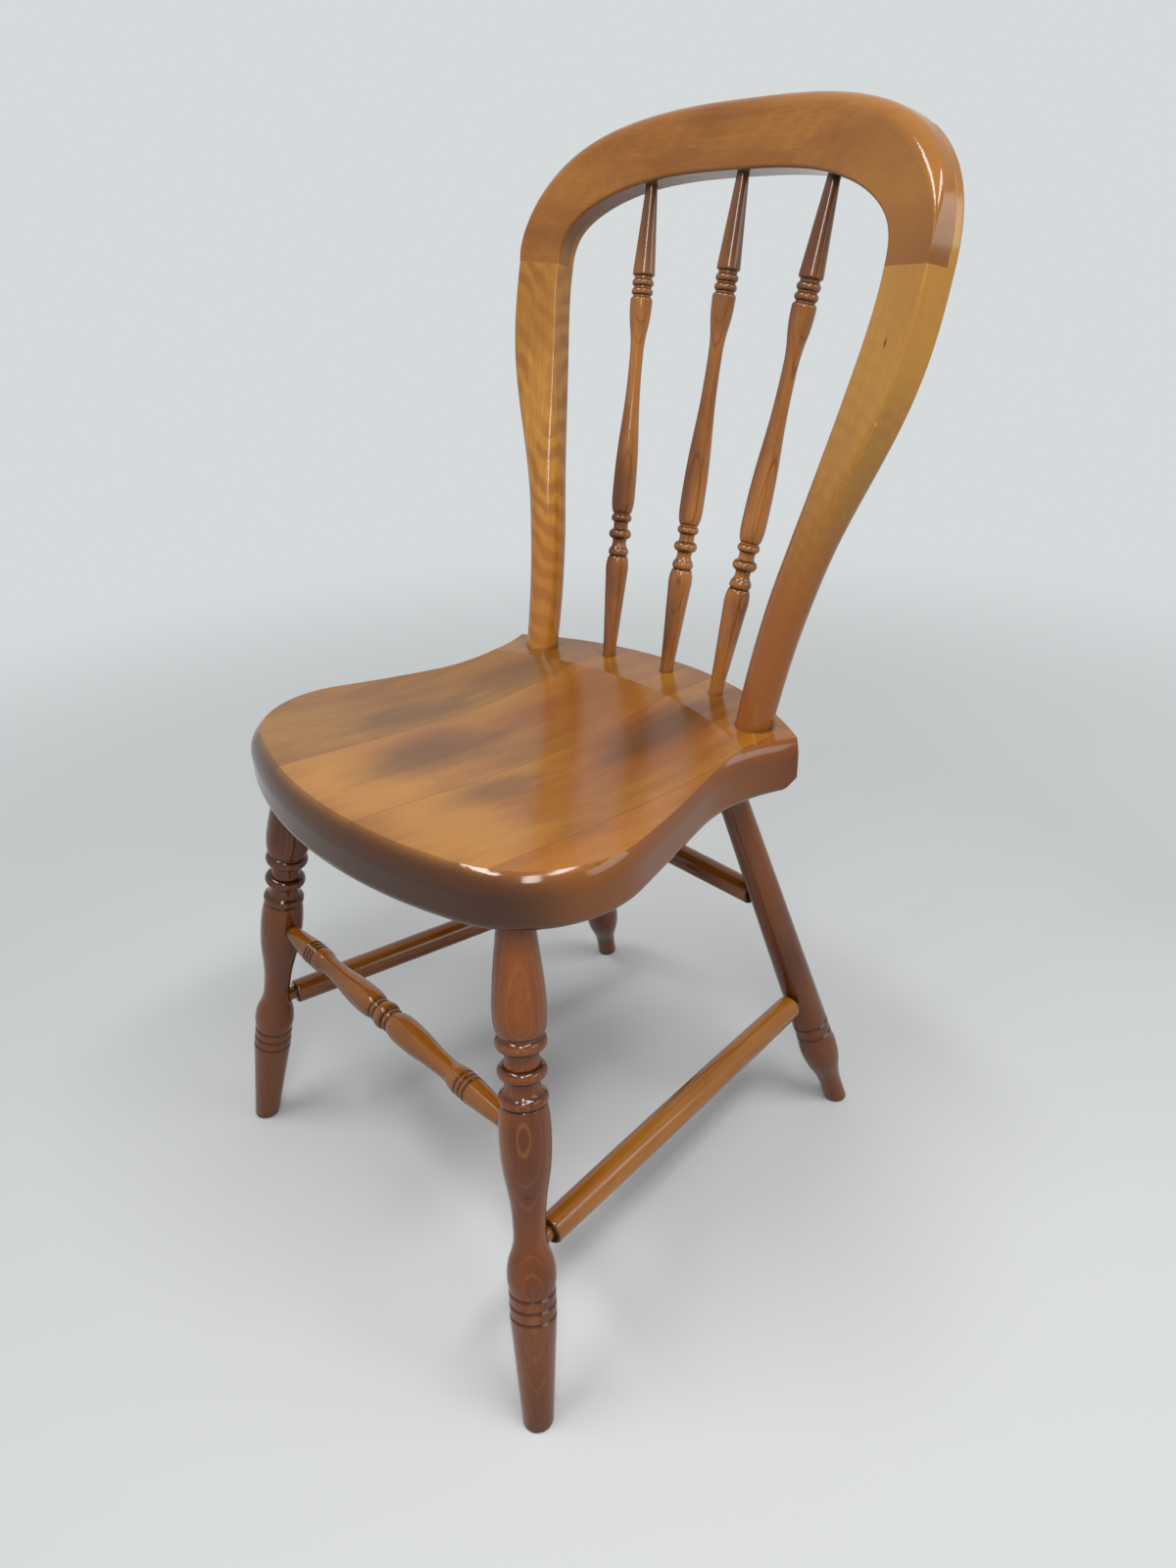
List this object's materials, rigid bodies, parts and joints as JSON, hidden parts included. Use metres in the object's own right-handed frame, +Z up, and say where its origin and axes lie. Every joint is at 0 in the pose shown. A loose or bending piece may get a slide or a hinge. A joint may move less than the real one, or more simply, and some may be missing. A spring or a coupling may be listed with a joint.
{
  "type": "balloon-back spindle side chair",
  "caption": "Wooden side chair with a bowed balloon back, turned spindles, a saddled plank seat, turned splayed legs and stretchers.",
  "frame": {"origin": "on the floor, under the centre of the chair's box", "axes": "+Z up, +Y from the front of the seat to its back, +X to the right of someone who faces the chair"},
  "size_m": [0.4632, 0.4908, 0.8745],
  "materials": {
    "seat_wood": "honey-brown lacquer over glued-up maple or birch boards, high gloss",
    "post_wood": "golden lacquer over curly maple, high gloss",
    "crest_wood": "reddish-brown lacquer over maple, high gloss",
    "spindle_wood": "reddish-brown lacquer over turned maple, high gloss",
    "leg_wood": "brown lacquer over turned maple, high gloss",
    "stretcher_wood": "orange-brown lacquer over turned maple, high gloss"
  },
  "bodies": {
    "root": {"seat_board_left": "seat_wood", "seat_board_centre_left": "seat_wood", "seat_board_centre_right": "seat_wood", "seat_board_right": "seat_wood", "back_post_left": "post_wood", "back_post_right": "post_wood", "crest_rail": "crest_wood", "spindle_left": "spindle_wood", "spindle_centre": "spindle_wood", "spindle_right": "spindle_wood", "leg_front_left": "leg_wood", "leg_front_right": "leg_wood", "leg_rear_left": "leg_wood", "leg_rear_right": "leg_wood", "stretcher_front": "stretcher_wood", "stretcher_left": "stretcher_wood", "stretcher_right": "stretcher_wood", "stretcher_rear": "stretcher_wood"}
  },
  "joints": []
}
